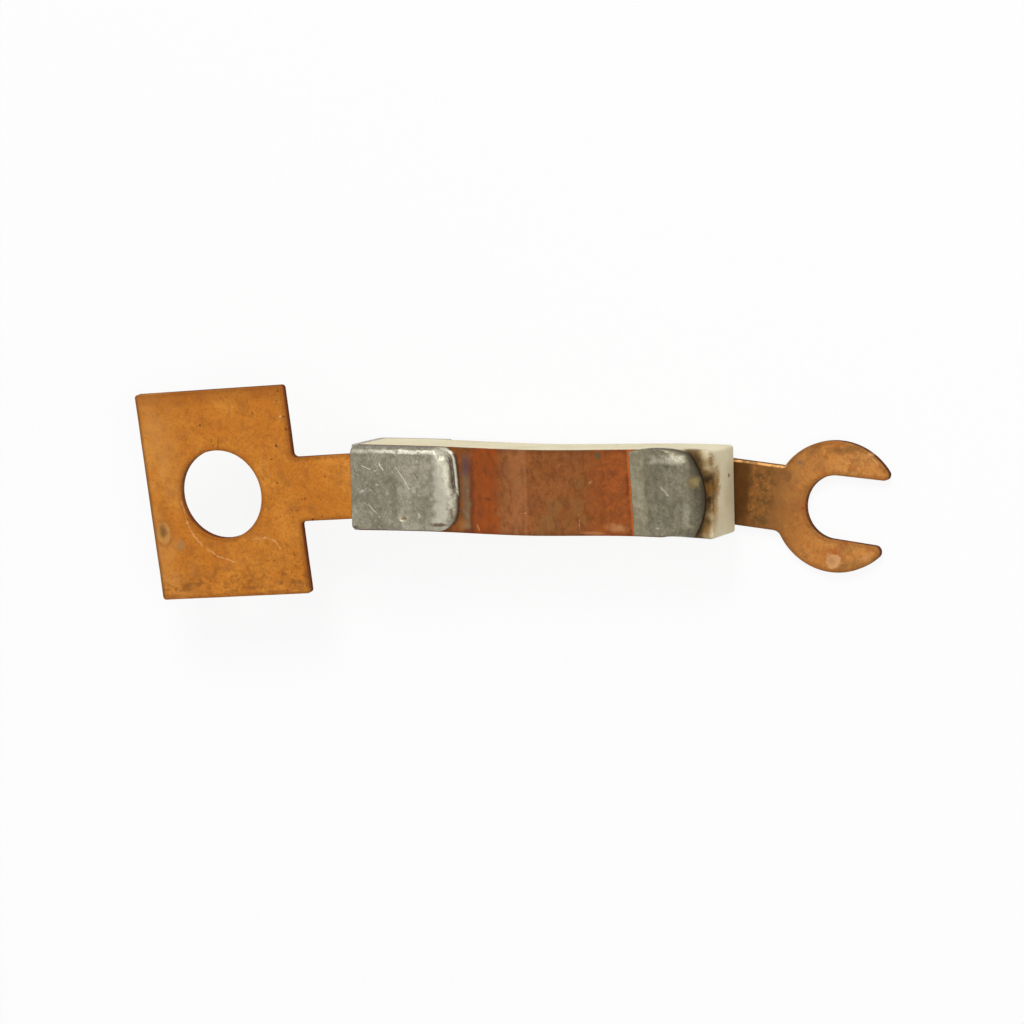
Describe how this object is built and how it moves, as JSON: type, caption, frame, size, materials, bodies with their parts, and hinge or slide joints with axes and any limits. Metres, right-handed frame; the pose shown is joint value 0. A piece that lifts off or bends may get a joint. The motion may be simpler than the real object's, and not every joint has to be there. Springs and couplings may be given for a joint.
{
  "type": "thermal fuse",
  "caption": "Fusible link: a ceramic bar carries a copper strip soldered to a plate terminal with a bolt hole and, by low-melting alloy, to an open fork terminal.",
  "frame": {"origin": "centre of the fork's slot, on the surface that the fuse lies on", "axes": "+Z away from that surface, square to the fork; +X along the ceramic bar, from the plate's end towards the fork; +Y across the bar"},
  "size_m": [0.1142, 0.033, 0.0141],
  "materials": {
    "porcelain": "matt cream porcelain, burnt brown at one end",
    "strip_copper": "red-brown heat-stained copper",
    "terminal_copper": "tarnished orange-brown copper",
    "solder": "dull tinned grey",
    "fusible_alloy": "dull grey low-melting alloy"
  },
  "bodies": {
    "root": {"ceramic_bar": "porcelain", "link_strip": "strip_copper", "hole_terminal": "terminal_copper", "fork_terminal": "terminal_copper", "solder_pad": "solder", "fusible_joint": "fusible_alloy"}
  },
  "joints": []
}
